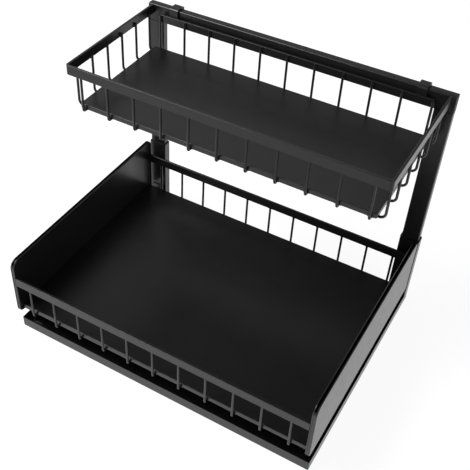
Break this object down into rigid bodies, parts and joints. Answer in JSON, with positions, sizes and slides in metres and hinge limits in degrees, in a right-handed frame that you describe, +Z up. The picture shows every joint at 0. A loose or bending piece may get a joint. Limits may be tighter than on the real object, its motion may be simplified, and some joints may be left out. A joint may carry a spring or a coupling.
{
  "type": "under sink organizer",
  "caption": "Two tier under sink organizer: low sheet base with a pull-out tray on ball slides, and a wire basket hooked over the top beam of a rear tube frame.",
  "frame": {"origin": "on the surface that the organizer stands on, in the middle of its footprint with the tray shut", "axes": "+Z up, +X to the right across the width, -Y towards the front, the way the tray pulls out"},
  "size_m": [0.4, 0.315, 0.3253],
  "materials": {
    "black_powder_coat": "fine textured matte black powder coat",
    "zinc_steel": "zinc plated sheet steel, satin",
    "ball_steel": "polished hardened steel",
    "black_screw": "black oxide, satin",
    "cap_plastic": "matte black moulded plastic",
    "rubber": "matte black rubber"
  },
  "bodies": {
    "base": {"base_pan": "black_powder_coat", "rubber_feet": "rubber", "left_sleeve": "black_powder_coat", "right_sleeve": "black_powder_coat", "left_post": "black_powder_coat", "right_post": "black_powder_coat", "top_beam": "black_powder_coat", "left_beam_end_cap": "cap_plastic", "right_beam_end_cap": "cap_plastic", "left_foot_bracket": "black_powder_coat", "right_foot_bracket": "black_powder_coat", "foot_bracket_screws": "black_screw", "post_screws": "black_screw", "left_base_angle": "black_powder_coat", "right_base_angle": "black_powder_coat", "left_slide_outer": "zinc_steel", "right_slide_outer": "zinc_steel", "base_rivets": "zinc_steel", "left_slide_bumper": "rubber", "right_slide_bumper": "rubber"},
    "ball_cages": {"left_ball_cage": "zinc_steel", "right_ball_cage": "zinc_steel", "left_balls": "ball_steel", "right_balls": "ball_steel"},
    "tray": {"tray_floor": "black_powder_coat", "left_tray_wall": "black_powder_coat", "right_tray_wall": "black_powder_coat", "tray_front_rail": "black_powder_coat", "tray_back_rail": "black_powder_coat", "tray_front_wires": "black_powder_coat", "tray_back_wires": "black_powder_coat", "left_runner_bracket": "black_powder_coat", "right_runner_bracket": "black_powder_coat", "left_slide_inner": "zinc_steel", "right_slide_inner": "zinc_steel", "runner_rivets": "zinc_steel"},
    "basket": {"basket_rim": "black_powder_coat", "basket_back_bar": "black_powder_coat", "basket_floor": "black_powder_coat", "basket_front_wires": "black_powder_coat", "basket_back_wires": "black_powder_coat", "left_basket_side_wires": "black_powder_coat", "right_basket_side_wires": "black_powder_coat", "left_hook": "black_powder_coat", "right_hook": "black_powder_coat"}
  },
  "joints": [
    {"name": "tray_slide", "type": "slide", "parent": "base", "child": "tray", "axis": [0, -1, 0], "range_m": [0, 0.18]},
    {"name": "ball_cage_slide", "type": "slide", "parent": "base", "child": "ball_cages", "axis": [0, -1, 0], "range_m": [0, 0.09]},
    {"name": "basket_lift", "type": "slide", "parent": "base", "child": "basket", "axis": [0, 0, 1], "range_m": [0, 0.03]}
  ],
  "couplings": [
    {"joint": "ball_cage_slide", "follows": "tray_slide", "ratio": 0.5}
  ]
}
